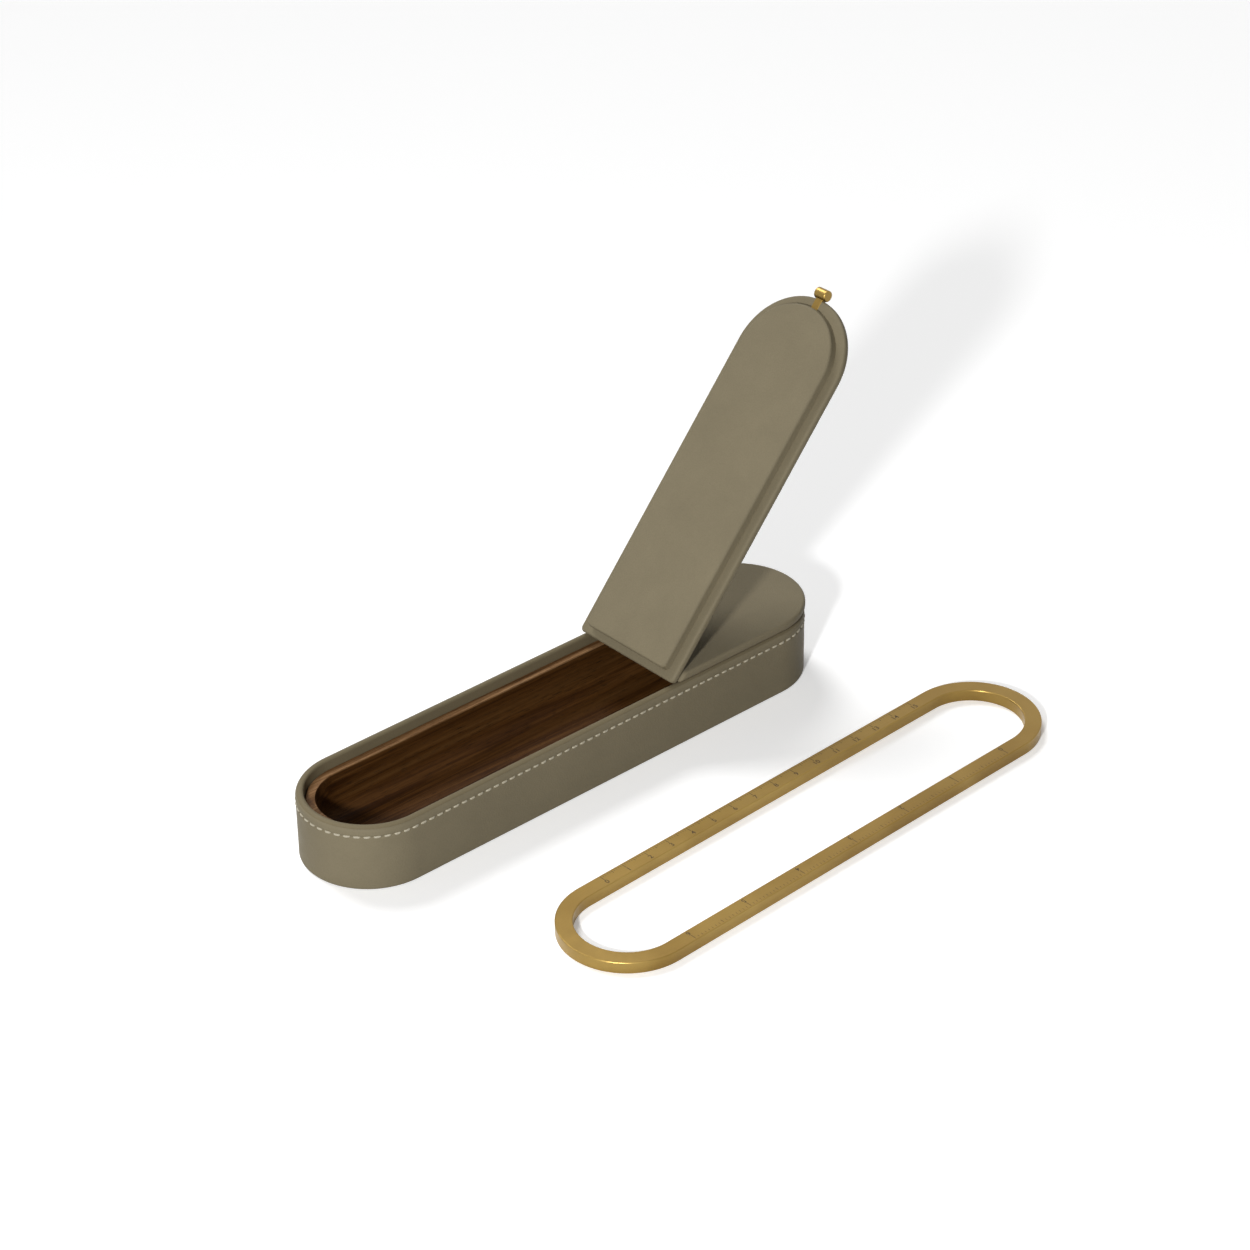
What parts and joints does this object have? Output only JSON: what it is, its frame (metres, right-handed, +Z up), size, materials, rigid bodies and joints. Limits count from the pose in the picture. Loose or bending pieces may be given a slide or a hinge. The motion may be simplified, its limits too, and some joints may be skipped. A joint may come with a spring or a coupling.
{
  "type": "pen tray",
  "caption": "Leather-covered pen tray with round ends, a walnut trough, a short fixed rear cover, a long hinged lid with a brass pull, and a separate brass ruler frame.",
  "frame": {"origin": "centre of the box's underside, on the table", "axes": "+X along the box towards the fixed rear cover, +Y across the box away from the ruler frame, +Z up"},
  "size_m": [0.2499, 0.1422, 0.138],
  "materials": {
    "leather": "matt pebble-grained taupe",
    "lining_leather": "matt pebble-grained taupe, a little darker",
    "suede": "napped",
    "board": "raw fibreboard",
    "walnut": "oiled, satin",
    "brass": "brushed, satin",
    "thread": "waxed thread",
    "enamel": "matt dark filling"
  },
  "bodies": {
    "tray": {"base_pad": "suede", "base_board": "board", "wall_board": "board", "outer_leather": "leather", "lining_leather": "lining_leather", "wall_stitching": "thread", "walnut_trough": "walnut", "cover_block": "walnut", "cover_board": "board", "cover_leather": "leather", "hinge_fixed_leaf": "brass", "hinge_pin": "brass", "hinge_fixed_rivets": "brass"},
    "lid": {"lid_board": "board", "lid_leather": "leather", "lid_panel_board": "board", "lid_panel_leather": "leather", "hinge_lid_leaf": "brass", "hinge_lid_rivets": "brass", "pull_stem": "brass", "pull_bar": "brass"},
    "ruler": {"ruler_frame": "brass", "centimetre_marks": "enamel", "inch_marks": "enamel"}
  },
  "joints": [
    {"name": "lid_hinge", "type": "hinge", "parent": "tray", "child": "lid", "pos_m": [0.0326, 0, 0.0271], "axis": [0, 1, 0], "range_deg": [-130.8, 0]},
    {"name": "ruler_lift", "type": "slide", "parent": "tray", "child": "ruler", "axis": [0, 0, 1], "range_m": [0, 0.06]}
  ]
}
